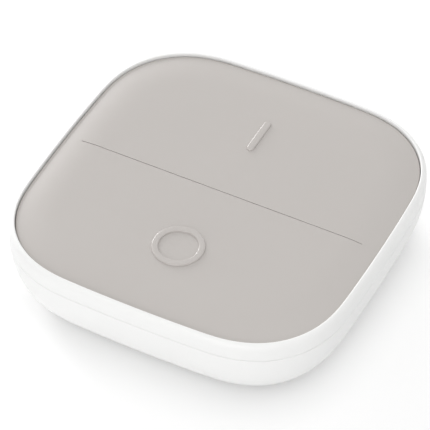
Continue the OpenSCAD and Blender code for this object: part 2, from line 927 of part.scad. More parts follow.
// The least gap between curls, measured on points at least half a turn apart
spring_gap = min([
    for (i = [0 : curl_steps]) for (k = [i + curl_rings / 2 : curl_steps]) norm(curl(i) - curl(k))
]) - wire_d;
echo(least_gap_between_spring_curls = spring_gap);

module battery_spring() {
    translate([-bay_half_l + contact_t, cell_y, cell_z]) tube(spring_line, wire_d, wire_sides);
}

module negative_spring() {
    color(spring_steel) battery_spring();
}

module link_spring() {
    color(spring_steel) turn_half() battery_spring();
}

upper_frame();
on_key();
off_key();
cover_bridges();
switch_deck();
lower_housing();
battery_door();
rubber_feet();
housing_screws();
circuit_board();
board_screws();
switch_pins();
on_switch_base();
on_switch_dome();
on_switch_plunger();
on_switch_plate();
off_switch_base();
off_switch_dome();
off_switch_plunger();
off_switch_plate();
module_board();
shield_can();
radio_chip();
crystal();
regulator();
capacitors();
resistors();
cell_a_can();
cell_b_can();
cell_caps();
positive_contact();
negative_contact();
link_contact();
negative_spring();
link_spring();
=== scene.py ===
import math
import bmesh
import bpy
from mathutils import Matrix, Vector


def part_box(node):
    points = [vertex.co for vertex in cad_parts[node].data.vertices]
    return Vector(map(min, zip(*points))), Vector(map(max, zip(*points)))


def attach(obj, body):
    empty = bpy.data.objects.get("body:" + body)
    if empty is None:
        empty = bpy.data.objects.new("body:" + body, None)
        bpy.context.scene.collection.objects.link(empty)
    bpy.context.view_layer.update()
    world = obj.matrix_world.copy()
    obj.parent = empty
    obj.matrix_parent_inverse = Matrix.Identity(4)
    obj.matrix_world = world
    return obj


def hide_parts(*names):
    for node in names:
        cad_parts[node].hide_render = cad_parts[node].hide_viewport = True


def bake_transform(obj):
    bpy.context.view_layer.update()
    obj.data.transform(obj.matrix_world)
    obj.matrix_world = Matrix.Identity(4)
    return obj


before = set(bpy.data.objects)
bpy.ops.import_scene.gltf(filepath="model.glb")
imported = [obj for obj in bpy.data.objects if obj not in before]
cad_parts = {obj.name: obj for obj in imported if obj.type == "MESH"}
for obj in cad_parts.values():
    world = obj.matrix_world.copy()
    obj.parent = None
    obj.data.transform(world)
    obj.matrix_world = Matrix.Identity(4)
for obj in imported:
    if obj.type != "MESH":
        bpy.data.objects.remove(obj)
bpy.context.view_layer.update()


# Lower housing: the white moulded tub that holds everything. Its side rolls in to a flat underside,
# which has a recess for the battery door and a well for each foot and case screw. It is moulded in
# one shot of ABS with a fine satin finish; the bay, the bosses and the wall are one piece.
mm = 0.001
quarter_turn = math.pi / 2
side_crown = 1.55 * mm
crown_power = 4
corner_size = 20.1 * mm
corner_fullness = 2.66
lip_width = 1.2 * mm
case_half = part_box("upper_frame")[1].x
opening_half = case_half - lip_width - side_crown
seam_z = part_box("lower_housing")[1].z
base_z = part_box("lower_housing")[0].z
side_steps = 8
corner_steps = 30


def spread(first, last, steps):
    """Evenly spaced values from the first to the last, both included."""
    return [first + (last - first) * i / steps for i in range(steps + 1)]


def quarter(half, size):
    """One quarter of a rounded square, from the middle of the +X side to the middle of the +Y side."""
    straight = half - size
    power = 2 / corner_fullness
    side = [(half, y) for y in spread(0.0, straight, side_steps)[:-1]]
    corner = [
        (straight + size * abs(math.cos(turn)) ** power, straight + size * math.sin(turn) ** power)
        for turn in spread(0.0, quarter_turn, corner_steps)
    ]
    top = [(x, half) for x in spread(straight, 0.0, side_steps)[1:-1]]
    return side + corner + top


def outline(offset):
    """The case's outline at a distance outside its opening; each side stands out a little in its middle."""
    half = opening_half + offset
    points = []
    for cosine, sine in ((1, 0), (0, 1), (-1, 0), (0, -1)):
        for side_x, side_y in quarter(half, corner_size + offset):
            x = side_x * cosine - side_y * sine
            y = side_x * sine + side_y * cosine
            out_x = side_crown * abs(x / half) ** crown_power * (1 - (y / half) ** 2)
            out_y = side_crown * abs(y / half) ** crown_power * (1 - (x / half) ** 2)
            points.append((x + math.copysign(out_x, x), y + math.copysign(out_y, y)))
    return points


def new_piece(name, points, faces):
    """A piece of the object as a mesh, with its place in its points."""
    mesh = bpy.data.meshes.new(name)
    mesh.from_pydata(points, [], faces)
    mesh.validate()
    piece = bpy.data.objects.new(name, mesh)
    bpy.context.scene.collection.objects.link(piece)
    return piece


def skinned(name, rings, closed=False):
    """A skin over rings of equal counts: a hoop where closed, and otherwise a solid with flat ends."""
    count = len(rings[0])
    faces = []
    for i in range(len(rings) if closed else len(rings) - 1):
        low = i * count
        high = (i + 1) % len(rings) * count
        faces += [(low + j, low + (j + 1) % count, high + (j + 1) % count, high + j) for j in range(count)]
    if not closed:
        faces.append(tuple(range(count - 1, -1, -1)))
        faces.append(tuple((len(rings) - 1) * count + j for j in range(count)))
    return new_piece(name, [p for ring in rings for p in ring], faces)


def level(points, z):
    """Outline points lifted to a height."""
    return [(x, y, z) for x, y in points]


def rectangle(low, high):
    """The four corners of a rectangle, from its lowest and its highest."""
    return [(low[0], low[1]), (high[0], low[1]), (high[0], high[1]), (low[0], high[1])]


def box(low, high):
    """A plain box between two corners, to be joined to a piece or cut from it."""
    corners = rectangle(low, high)
    return skinned("box", [level(corners, low[2]), level(corners, high[2])])


def turned(place, profile, steps=48):
    """A body of revolution about a vertical axis, from its underside's (radius, height) up."""
    circle = [(math.cos(turn), math.sin(turn)) for turn in spread(0.0, math.tau, steps)[:-1]]
    rings = []
    for radius, z in profile:
        rings.append([(place[0] + radius * x, place[1] + radius * y, z) for x, y in circle])
    return skinned("turned", rings)


def combined(piece, tool, operation):
    """Works a closed solid into a piece and uses the solid up."""
    step = piece.modifiers.new("combined", "BOOLEAN")
    step.operation = operation
    step.solver = "EXACT"
    step.object = tool
    done = piece.evaluated_get(bpy.context.evaluated_depsgraph_get())
    piece.data = bpy.data.meshes.new_from_object(done)
    piece.modifiers.clear()
    bpy.data.objects.remove(tool)


def cut(piece, tool):
    """Takes a closed solid out of a piece."""
    combined(piece, tool, "DIFFERENCE")


def join(piece, tool):
    """Adds a closed solid to a piece."""
    combined(piece, tool, "UNION")


def smooth(piece, degrees=32):
    """Round stretches shade smoothly, and edges sharper than the angle stay crisp."""
    piece.data.shade_smooth()
    piece.data.set_sharp_from_angle(angle=math.radians(degrees))


class Wire:
    """One output of a material's nodes. Arithmetic on it adds Math nodes, and node() adds any other."""

    def __init__(self, tree, socket=None):
        self.tree = tree
        self.socket = socket

    def node(self, kind, settings=None, values=None, output=0):
        """A node of a kind. Its settings come first, then the values or links of its sockets."""
        made = self.tree.nodes.new("ShaderNode" + kind)
        for key, value in (settings or {}).items():
            setattr(made, key, value)
        for key, value in (values or {}).items():
            if isinstance(value, Wire):
                self.tree.links.new(value.socket, made.inputs[key])
            else:
                made.inputs[key].default_value = value
        return Wire(self.tree, made.outputs[output])

    def maths(self, operation, first, second=0.0):
        """A Math node on one or two values."""
        return self.node("Math", {"operation": operation}, {0: first, 1: second})

    def __add__(self, other):
        return self.maths("ADD", self, other)

    def __radd__(self, other):
        return self.maths("ADD", other, self)

    def __sub__(self, other):
        return self.maths("SUBTRACT", self, other)

    def __rsub__(self, other):
        return self.maths("SUBTRACT", other, self)

    def __mul__(self, other):
        return self.maths("MULTIPLY", self, other)

    def __rmul__(self, other):
        return self.maths("MULTIPLY", other, self)

    def __gt__(self, other):
        return self.maths("GREATER_THAN", self, other)

    def __lt__(self, other):
        return self.maths("LESS_THAN", self, other)

    def __abs__(self):
        return self.maths("ABSOLUTE", self)

    def blended(self, first, second):
        """From the first colour to the second as this value goes from 0 to 1."""
        # A Mix node's sockets share their names, so its factor and its two colours go by number
        return self.node("Mix", {"data_type": "RGBA"}, {0: self, 6: first, 7: second}, output=2)


def screen_colour(red, green, blue):
    """A colour given as a screen has it, from 0 to 255, turned into amounts of light."""
    channels = [c / 255 for c in (red, green, blue)]
    return tuple(c / 12.92 if c < 0.04045 else ((c + 0.055) / 1.055) ** 2.4 for c in channels) + (1.0,)


def shade(colour, factor):
    """A colour made darker or lighter."""
    return tuple(c * factor for c in colour[:3]) + (1.0,)


def drifting(pattern, colour, drift):
    """A colour that goes a little darker and lighter with a pattern."""
    return pattern.blended(shade(colour, 1 - drift), shade(colour, 1 + drift))


def clouds(place, per_metre, detail=2.0):
    """A random pattern over the surface, with so many patches to the metre."""
    return place.node("TexNoise", {}, {"Vector": place, "Scale": per_metre, "Detail": detail})


def bumps(height, strength, depth):
    """Small ups and downs of the surface that follow a pattern."""
    return height.node("Bump", {}, {"Strength": strength, "Distance": depth, "Height": height})


def new_finish(name, metallic=0.0):
    """A material, the place on the surface that its patterns start from, and its shader."""
    material = bpy.data.materials.new(name)
    material.use_nodes = True
    shader = material.node_tree.nodes["Principled BSDF"]
    shader.inputs["Metallic"].default_value = metallic
    return material, Wire(material.node_tree).node("TexCoord", output="Object"), shader


def feed(shader, **links):
    """Sends values worked out over the surface to the shader's sockets."""
    for name, value in links.items():
        value.tree.links.new(value.socket, shader.inputs[name.replace("_", " ")])


def moulded(name, colour, roughness, grain_size, relief, drift=0.02, milky=0.0, sheen=0.5):
    """Moulded plastic: a spark-eroded grain of a size and depth, and a slow drift in tone and gloss."""
    material, place, shader = new_finish(name)
    cloud = clouds(place, per_metre=45.0, detail=3.0)
    grain = clouds(place, per_metre=1 / grain_size)
    pits = place.node("TexVoronoi", {}, {"Vector": place, "Scale": 0.6 / grain_size})
    tone = cloud * 0.7 + grain * 0.3
    gloss = (cloud - 0.5) * 0.12 + (grain - 0.5) * 0.1
    feed(
        shader,
        Base_Color=drifting(tone, colour, drift),
        Roughness=gloss + roughness,
        Normal=bumps(grain + pits * 0.5, strength=0.5, depth=relief),
    )
    milky_depth = 0.5 * mm
    shader.inputs["Specular IOR Level"].default_value = sheen
    shader.inputs["Subsurface Weight"].default_value = milky
    shader.inputs["Subsurface Radius"].default_value = (1.0, 1.0, 1.0)
    shader.inputs["Subsurface Scale"].default_value = milky_depth
    return material


def wear(piece, material):
    """Puts one material on the whole piece."""
    piece.data.materials.clear()
    piece.data.materials.append(material)


white_plastic = moulded(
    "white_plastic", screen_colour(240, 240, 239), roughness=0.38, grain_size=0.16 * mm, relief=0.006 * mm,
    drift=0.006, milky=0.7,
)

# The tub, skinned over a profile that goes up its outside and down its inside
roll_height = seam_z - base_z
roll_width = 7.6 * mm
roll_steps = 26
flat_margin = 0.4 * mm
wall = 1.6 * mm
inner_steps = 13
floor_top = base_z + 2.2 * mm
seam_bevel = 0.15 * mm
tongue_seat = 0.5 * mm
rebate_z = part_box("upper_frame")[0].z - 0.1 * mm


def side_at(z):
    """How far the rolled side stands outside the opening's edge at a height."""
    drop = (seam_z - min(z, seam_z)) / roll_height
    return lip_width - roll_width * (1 - math.sqrt(max(0.0, 1 - drop * drop)))


outer = [(lip_width - roll_width - flat_margin, base_z)]
for turn in spread(quarter_turn, 0.0, roll_steps):
    z = min(seam_z - roll_height * math.sin(turn), seam_z - seam_bevel)
    outer.append((lip_width - roll_width * (1 - math.cos(turn)), z))
inner = [(lip_width - seam_bevel, seam_z), (tongue_seat, seam_z), (tongue_seat, rebate_z)]
inner += [(side_at(z) - wall, z) for z in spread(rebate_z, floor_top, inner_steps)]
housing = skinned("housing_tub", [level(outline(offset), z) for offset, z in outer + inner])

# The bay's block, the bosses for the case screws and the two for the board
door_low, door_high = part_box("battery_door")
door_half_length = door_high.x
door_half_width = door_high.y
door_thick = 1.4 * mm
door_lap = 1.0 * mm
bay_half_length = door_half_length - door_lap
bay_half_width = door_half_width - door_lap
bay_wall = 1.2 * mm
bay_top = base_z + 12.4 * mm
roof_top = bay_top + 0.9 * mm
join(housing, box(
    (-bay_half_length - bay_wall, -bay_half_width - bay_wall, base_z + door_thick),
    (bay_half_length + bay_wall, bay_half_width + bay_wall, roof_top),
))
board_low, board_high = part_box("circuit_board")
foot_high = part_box("rubber_feet")[1]
foot_radius = 4.0 * mm
foot_middle = foot_high.x - foot_radius
foot_places = [(x * foot_middle, y * foot_middle) for x in (-1, 1) for y in (-1, 1)]
switch_low, switch_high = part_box("on_switch_base")
switch_place = (switch_low.y + switch_high.y) / 2
board_screw_x = 9.0 * mm
board_screw_places = [(board_screw_x, -switch_place), (-board_screw_x, switch_place)]
case_boss = 3.1 * mm
board_boss = 2.0 * mm
boss_low = floor_top - 1.1 * mm
for radius, places in ((case_boss, foot_places), (board_boss, board_screw_places)):
    for place in places:
        join(housing, turned(place, [(radius, boss_low), (radius, board_low.z)]))

# The bay itself, the door's recess with a soft edge, the slots for the tabs, the latch and the tails
overrun = 1.0 * mm
door_gap = 0.2 * mm
door_corner = 1.5 * mm
recess_top = base_z + door_thick + 0.1 * mm
edge_soft = 0.18 * mm
edge_middle = edge_soft * 0.3
cut(housing, box((-bay_half_length, -bay_half_width, base_z), (bay_half_length, bay_half_width, bay_top)))


def round_box(half_x, half_y, radius, steps=8):
    """The outline of a rectangle with round corners."""
    points = []
    for corner, (side_x, side_y) in enumerate(((1, 1), (-1, 1), (-1, -1), (1, -1))):
        for turn in spread(corner * quarter_turn, (corner + 1) * quarter_turn, steps):
            points.append((
                side_x * (half_x - radius) + radius * math.cos(turn),
                side_y * (half_y - radius) + radius * math.sin(turn),
            ))
    return points


recess = []
for grow, z in (
    (edge_soft + overrun, base_z - overrun), (edge_soft, base_z), (edge_middle, base_z + edge_middle),
    (0.0, base_z + edge_soft), (0.0, recess_top),
):
    room = door_gap + grow
    recess.append(level(round_box(door_half_length + room, door_half_width + room, door_corner + grow), z))
cut(housing, skinned("recess", recess))
tab_width = 1.8 * mm
tab_thick = 0.7 * mm
tab_air = 0.3 * mm
riser_gap = 0.2 * mm
tab_middle = bay_half_width - riser_gap - tab_width / 2
slot_top = floor_top + tab_air * 2 + tab_thick
latch_width = 2.8 * mm
latch_barb = 0.35 * mm
cell_middle = 5.45 * mm
tail_width = 2.0 * mm
tail_gap = 0.15 * mm
tail_top = board_high.z + 0.45 * mm
wall_outside = -bay_half_length - bay_wall - overrun
wall_inside = -bay_half_length + overrun
for way in (-1, 1):
    cut(housing, box(
        (wall_outside, way * tab_middle - tab_width / 2 - riser_gap, floor_top),
        (wall_inside, way * tab_middle + tab_width / 2 + riser_gap, slot_top),
    ))
cut(housing, box(
    (bay_half_length - overrun, -latch_width / 2 - riser_gap, base_z + door_thick),
    (bay_half_length + latch_barb, latch_width / 2 + riser_gap, slot_top),
))
for way in (-1, 1):
    cut(housing, box(
        (wall_outside, way * cell_middle - tail_width / 2 - tail_gap, board_high.z - tail_gap),
        (wall_inside, way * cell_middle + tail_width / 2 + tail_gap, tail_top),
    ))

# A well for each foot, with the screw's seat and bore above it, and the pilots for the board screws
foot_clear = foot_radius + 0.1 * mm
head_clear = 2.1 * mm
screw_clear = 1.1 * mm
pilot_radius = 0.88 * mm
seat_z = base_z + 3.2 * mm
bore_top = board_low.z + overrun
well = [
    (foot_clear + edge_soft + overrun, base_z - overrun), (foot_clear + edge_soft, base_z),
    (foot_clear, base_z + edge_soft), (foot_clear, foot_high.z), (head_clear, foot_high.z),
    (head_clear, seat_z), (screw_clear, seat_z), (screw_clear, bore_top),
]
for place in foot_places:
    cut(housing, turned(place, well))
for place in board_screw_places:
    cut(housing, turned(place, [(pilot_radius, floor_top), (pilot_radius, bore_top)]))
smooth(housing)
wear(housing, white_plastic)
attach(housing, "case")
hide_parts("lower_housing")


# Battery contacts and springs: tinned steel plates stand at the bay's ends, two of them with a tail
# soldered to the board, and two wire springs press on the cells' flat ends. They keep their CAD shape.
def metal(name, colour, roughness, brushed=0.05, drift=0.03):
    """Plated metal, rolled or drawn: streaks along X in its gloss and relief, and a slow drift in tone."""
    material, place, shader = new_finish(name, metallic=1.0)
    streaks_per_metre = (300.0, 9000.0, 9000.0)
    stretched = place.node("Mapping", {}, {"Vector": place, "Scale": streaks_per_metre})
    streak = clouds(stretched, per_metre=1.0)
    cloud = clouds(place, per_metre=250.0)
    gloss = (streak - 0.5) * brushed * 4
    feed(
        shader,
        Base_Color=drifting(cloud, colour, drift),
        Roughness=gloss + roughness,
        Normal=bumps(streak, strength=brushed, depth=0.01 * mm),
    )
    return material


def dress(material, *names):
    """Gives CAD nodes that keep their shape their real finish."""
    for name in names:
        wear(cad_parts[name], material)


tinned_steel = metal("tinned_steel", screen_colour(222, 221, 216), roughness=0.3)
spring_wire = metal("spring_wire", screen_colour(206, 207, 210), roughness=0.24, brushed=0.02)
dress(tinned_steel, "positive_contact", "negative_contact", "link_contact")
dress(spring_wire, "negative_spring", "link_spring")


# Two AAA cells lie side by side, turned opposite ways, each a can in a plain printed sleeve with a
# pressed cap at its positive end. The sleeve shows a light band and a plus sign near that end.
def sleeve(name, cap_way, middle):
    """A printed sleeve on a can that lies along X, its cap towards +X or -X."""
    low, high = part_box(name)
    cap_end = high.x if cap_way > 0 else low.x
    material, place, shader = new_finish(name + "_sleeve")
    along = place.node("SeparateXYZ", {}, {"Vector": place}, output="X")
    across = place.node("SeparateXYZ", {}, {"Vector": place}, output="Y")
    from_cap = (along - cap_end) * -cap_way
    bare_end = 0.9 * mm
    bare = (from_cap < bare_end) + (from_cap > high.x - low.x - bare_end)
    band_start = 4.2 * mm
    band_end = 12.5 * mm
    band = (from_cap > band_start) * (from_cap < band_end)
    line_start = 13.1 * mm
    line_end = 13.5 * mm
    line = (from_cap > line_start) * (from_cap < line_end)
    plus_place = 8.3 * mm
    stroke = 0.35 * mm
    arm = 1.5 * mm
    off_along = abs(from_cap - plus_place)
    off_across = abs(across - middle)
    bar_across = (off_along < stroke) * (off_across < arm)
    bar_along = (off_along < arm) * (off_across < stroke)
    plus = 1 - (1 - bar_across) * (1 - bar_along)
    dark_print = screen_colour(47, 62, 92)
    light_print = screen_colour(214, 217, 221)
    bare_steel = screen_colour(205, 205, 203)
    ink = (band + line - band * plus).blended(dark_print, light_print)
    cloud = clouds(place, per_metre=400.0, detail=3.0)
    gloss = (cloud - 0.5) * 0.1 + bare * 0.05
    feed(
        shader,
        Base_Color=bare.blended(ink, bare_steel),
        Metallic=bare,
        Roughness=gloss + 0.27,
        Normal=bumps(cloud - bare * 0.5, strength=0.3, depth=0.05 * mm),
    )
    return material


dress(sleeve("cell_a_can", 1, cell_middle), "cell_a_can")
dress(sleeve("cell_b_can", -1, -cell_middle), "cell_b_can")
pressed_cap = metal("pressed_cap", screen_colour(214, 212, 204), roughness=0.28, brushed=0.03)
dress(pressed_cap, "cell_caps")


# Circuit board round the bay, screwed to two bosses: glass fibre under a green solder mask, with
# copper tracks that show through the mask as lighter lines, and the small parts soldered on it.
def solder_mask(name, colour):
    """Green mask over copper: tracks from a brick pattern, specks, and the weave's faint relief."""
    material, place, shader = new_finish(name)
    tracks = place.node("TexBrick", {}, {
        "Vector": place, "Scale": 260.0, "Mortar Size": 0.06, "Mortar Smooth": 0.1,
    }, output="Fac")
    weave = place.node("TexWave", {"bands_direction": "DIAGONAL"}, {"Vector": place, "Scale": 900.0})
    speck = clouds(place, per_metre=900.0)
    tone = tracks * 0.75 + speck * 0.25
    over_copper = shade(colour, 1.8)
    feed(
        shader,
        Base_Color=tone.blended(colour, over_copper),
        Roughness=speck * 0.12 + 0.24,
        Normal=bumps(tracks + weave * 0.1, strength=0.4, depth=0.03 * mm),
    )
    return material


def fired(name, colour, depth):
    """The fired body of a chip part: a fine speckle in tone, gloss and relief."""
    material, place, shader = new_finish(name)
    speck = clouds(place, per_metre=3000.0)
    feed(
        shader,
        Base_Color=drifting(speck, colour, drift=0.15),
        Roughness=speck * 0.2 + 0.4,
        Normal=bumps(speck, strength=0.3, depth=depth),
    )
    return material


green_mask = solder_mask("green_mask", screen_colour(22, 92, 58))
screw_steel = metal("screw_steel", screen_colour(198, 200, 203), roughness=0.34)
chip_resin = moulded(
    "chip_resin", screen_colour(38, 38, 40), roughness=0.55, grain_size=0.06 * mm, relief=0.004 * mm,
    drift=0.08,
)
fired_ceramic = fired("fired_ceramic", screen_colour(190, 158, 116), depth=0.01 * mm)
resistor_glaze = fired("resistor_glaze", screen_colour(34, 34, 38), depth=0.005 * mm)
dress(green_mask, "circuit_board", "module_board")
dress(screw_steel, "board_screws", "housing_screws")
dress(tinned_steel, "switch_pins", "shield_can", "crystal")
dress(chip_resin, "radio_chip", "regulator")
dress(fired_ceramic, "capacitors")
dress(resistor_glaze, "resistors")


# Tact switches: a black base with four pins, a steel snap dome in its cavity, a black plunger over
# the dome and a thin steel plate that keeps the plunger in. One stands under each half of the cover.
switch_nylon = moulded(
    "switch_nylon", screen_colour(30, 30, 32), roughness=0.5, grain_size=0.08 * mm, relief=0.005 * mm,
    drift=0.06,
)
dress(switch_nylon, "on_switch_base", "on_switch_plunger", "off_switch_base", "off_switch_plunger")
dress(spring_wire, "on_switch_dome", "off_switch_dome")
dress(tinned_steel, "on_switch_plate", "off_switch_plate")


# Switch deck: a light grey moulded plate that carries the cover's living hinges on two pads and
# clamps the frame's flange. Its four posts take the case screws.
deck_plastic = moulded(
    "deck_plastic", screen_colour(206, 206, 204), roughness=0.5, grain_size=0.2 * mm, relief=0.008 * mm,
)
dress(deck_plastic, "switch_deck")


# Upper frame: the white ring that stands on the housing's wall, 4 mm high outside, with a rolled lip
# that rises a little above the cover all round. It is moulded of the same satin ABS as the housing.
lip_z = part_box("upper_frame")[1].z
flange_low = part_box("upper_frame")[0].z
flange_top = flange_low + 1.3 * mm
flange_width = 1.6 * mm
tongue = 0.4 * mm
lip_roll_height = 2.0 * mm
lip_steps = 14
inner_roll = 0.18 * mm
inner_roll_height = 0.2 * mm
inner_roll_steps = 8
lip_roll = lip_width - inner_roll
profile = [
    (-flange_width, flange_top), (-flange_width, flange_low), (tongue, flange_low), (tongue, seam_z),
    (lip_width - seam_bevel, seam_z), (lip_width, seam_z + seam_bevel),
    (lip_width, seam_z + seam_bevel * 2),
]
for turn in spread(0.0, quarter_turn, lip_steps):
    profile.append((inner_roll + lip_roll * math.cos(turn), lip_z - lip_roll_height * (1 - math.sin(turn))))
for turn in spread(quarter_turn, math.pi, inner_roll_steps)[1:]:
    profile.append((inner_roll * (1 + math.cos(turn)), lip_z - inner_roll_height * (1 - math.sin(turn))))
profile.append((0.0, flange_top))
frame_ring = skinned("frame_ring", [level(outline(offset), z) for offset, z in profile], closed=True)
smooth(frame_ring)
wear(frame_ring, white_plastic)
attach(frame_ring, "case")
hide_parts("upper_frame")


# Cover: one grey moulding with a fine satin grain, whose face swells from its edge to a flat middle.
# A slit parts it into two keys, which meet at the bridges past the slit's ends. Each half carries a
# raised mark on its face, and a pusher, ribs and hooks on its underside.
mark_height = 0.4 * mm
mark_shoulder = 0.27 * mm
mark_place = 17.65 * mm
mark_steps = 9
swell = 0.95 * mm
swell_band = 8.0 * mm
swell_steps = 14
middle_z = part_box("on_key")[1].z - mark_height
edge_z = middle_z - swell
cover_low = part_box("switch_deck")[1].z
cover_gap = 0.12 * mm
cover_half = opening_half + side_crown - cover_gap
cover_soft = 0.42 * mm
soft_steps = 8
cover_plastic = moulded(
    "cover_plastic", screen_colour(191, 186, 182), roughness=0.35, grain_size=0.22 * mm, relief=0.012 * mm,
    drift=0.012, milky=0.3, sheen=0.75,
)


def face_z(inside):
    """The height of the cover's face at a distance inside its edge."""
    return edge_z + swell * (1 - (1 - min(inside, swell_band) / swell_band) ** 2)


def whole_cover(name):
    """The cover before it is parted: a plate with a softened edge and a swollen face."""
    lean = quarter_turn - math.atan(2 * swell / swell_band)
    reach = cover_soft * (1 - math.cos(lean))
    start_z = face_z(reach) - cover_soft * math.sin(lean)
    rings = [level(outline(-cover_gap), cover_low)]
    for turn in spread(0.0, lean, soft_steps):
        inside = cover_soft * (1 - math.cos(turn))
        rings.append(level(outline(-cover_gap - inside), start_z + cover_soft * math.sin(turn)))
    for inside in spread(reach, swell_band, swell_steps)[1:]:
        rings.append(level(outline(-cover_gap - inside), face_z(inside)))
    return skinned(name, rings)


# The slit, with its softened edges
slit_half = cover_half - 3.75 * mm
slit_width = 0.13 * mm
slit_soft = 0.08 * mm
slit_lean = math.radians(75)
slit_end_steps = 8
slit_overrun = overrun / 4


def slit_outline(grow):
    """The slit's outline, grown: round ends, and long sides with points that can follow the swell."""
    half = slit_width / 2 + grow
    arc_x = slit_half - slit_width / 2
    side = spread(cover_half - swell_band, arc_x, swell_steps)
    arc = spread(-quarter_turn, quarter_turn, slit_end_steps)[1:-1]
    right = [(x, -half) for x in side]
    right += [(arc_x + half * math.cos(turn), half * math.sin(turn)) for turn in arc]
    right += [(x, half) for x in reversed(side)]
    return right + [(-x, -y) for x, y in right]


def over_face(points, rise):
    """Points near the cover's middle line, lifted to a height above its face."""
    return [(x, y, face_z(cover_half - abs(x)) + rise) for x, y in points]


def slit_tool():
    """What the slit takes out: a slot with round ends, whose softened edges follow the face."""
    rings = [level(slit_outline(0.0), cover_low - overrun)]
    for turn in spread(0.0, slit_lean, soft_steps - 1):
        grown = slit_outline(slit_soft * (1 - math.cos(turn)))
        rings.append(over_face(grown, slit_soft * (math.sin(turn) - 1)))
    wide = slit_outline(slit_soft * (1 - math.cos(slit_lean)) + slit_overrun)
    rings.append(over_face(wide, slit_soft * (math.sin(slit_lean) - 1) + slit_overrun / math.tan(slit_lean)))
    rings.append(level(wide, middle_z + overrun))
    return skinned("slit_tool", rings)


# The marks: a ring on the off half and a bar on the on half, with rounded shoulders and flat tops
ring_radius = 4.73 * mm
ring_width = 1.4 * mm
ring_steps = 120
bar_length = 9.3 * mm
bar_width = 1.6 * mm
bar_end_steps = 12


def ridge(width):
    """Half of a mark's section, from inside the cover up: distances from its middle, and heights."""
    side = [(width / 2, -mark_height / 2)]
    for turn in spread(0.0, quarter_turn, mark_steps):
        side.append((width / 2 - mark_shoulder * (1 - math.cos(turn)), mark_height * math.sin(turn)))
    return side


def ring_mark():
    """The raised ring of the off half."""
    side = ridge(ring_width)
    section = [(-x, z) for x, z in side] + side[::-1]
    rings = []
    for turn in spread(0.0, math.tau, ring_steps)[:-1]:
        reach = [(ring_radius + x, middle_z + z) for x, z in section]
        rings.append([(r * math.cos(turn), mark_place + r * math.sin(turn), z) for r, z in reach])
    return skinned("ring_mark", rings, closed=True)


def bar_mark():
    """The raised bar of the on half: a pill with the ridge's section all round."""
    ends = bar_length / 2 - bar_width / 2
    rings = []
    for x, z in ridge(bar_width):
        pill = round_box(x, ends + x, x, steps=bar_end_steps)
        rings.append([(px, mark_place + py, middle_z + z) for px, py in pill])
    return skinned("bar_mark", rings)


# What each half has underneath: a pusher over its switch, ribs, and hooks that hold its free edge down
half_up = (cover_low + edge_z) / 2
pusher_radius = 1.6 * mm
pusher_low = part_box("on_switch_plunger")[1].z + 0.06 * mm
rib_places = (-10.0 * mm, 0.0, 10.0 * mm)
rib_half = 0.4 * mm
rib_start = 3.0 * mm
rib_end = 27.0 * mm
rib_low = cover_low - 0.45 * mm
hook_places = (-14.0 * mm, 14.0 * mm)
hook_half = 2.5 * mm
hook_in = 31.1 * mm
hook_thick = 1.0 * mm
hook_reach = 1.7 * mm
hook_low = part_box("on_key")[0].z
barb_top = hook_low + 0.8 * mm


def key_half(name, mark):
    """The half of the cover on the +Y side, with a mark. The off half is mirrored once it is made."""
    key = whole_cover(name)
    cut(key, box((-case_half, -case_half, cover_low - overrun), (case_half, 0.0, middle_z + overrun)))
    cut(key, slit_tool())
    join(key, mark)
    join(key, turned((0, switch_place), [(pusher_radius, pusher_low), (pusher_radius, half_up)]))
    for x in rib_places:
        join(key, box((x - rib_half, rib_start, rib_low), (x + rib_half, rib_end, half_up)))
    for x in hook_places:
        start = (x - hook_half, hook_in, hook_low)
        join(key, box(start, (x + hook_half, hook_in + hook_thick, half_up)))
        join(key, box(start, (x + hook_half, hook_in + hook_reach, barb_top)))
    return key


def scored(piece, places):
    """Scores edges across a key at distances from the slit's middle line."""
    work = bmesh.new()
    work.from_mesh(piece.data)
    for y in places:
        everything = work.verts[:] + work.edges[:] + work.faces[:]
        bmesh.ops.bisect_plane(work, geom=everything, plane_co=(0, y, 0), plane_no=(0, 1, 0))
    work.to_mesh(piece.data)
    work.free()


bend_width = 1.2 * mm
on_half = key_half("cover_on_half", bar_mark())
off_half = key_half("cover_off_half", ring_mark())
for half, side, way in ((on_half, "on", 1), (off_half, "off", -1)):
    scored(half, (bend_width / 2, bend_width))
    if way < 0:
        half.data.transform(Matrix.Scale(-1, 4, (0, 1, 0)))
        half.data.flip_normals()
    smooth(half, degrees=12)
    wear(half, cover_plastic)
    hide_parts(side + "_key")
    side + "_key"
    way * bend_width
    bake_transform(half)

# A post under each bridge carries the cover on the switch deck
post_x = (slit_half + cover_half) / 2
post_foot_radius = 0.45 * mm
post_radius = 0.5 * mm
post_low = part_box("cover_bridges")[0].z
post_bevel = 0.1 * mm
post_top = cover_low + 0.4 * mm
post = [(post_foot_radius, post_low), (post_radius, post_low + post_bevel), (post_radius, post_top)]
bridge_posts = turned((-post_x, 0), post)
join(bridge_posts, turned((post_x, 0), post))
bridge_posts.name = "bridge_posts"
smooth(bridge_posts)
wear(bridge_posts, cover_plastic)
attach(bridge_posts, "case")
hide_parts("cover_bridges")


# Battery door: a flat lid with soft edges, moulded of the same white ABS as the housing. It hooks over
# the bay's ledge with two tabs and snaps in with a finger at the other end, where a thumb scoop helps
# to lift it.
door_low_z = door_low.z
door_inner = door_low_z + door_thick
door_edge_steps = 5


def door_outline(grow):
    """The door's outline, grown, or drawn in by a negative distance."""
    return round_box(door_half_length + grow, door_half_width + grow, door_corner + grow)


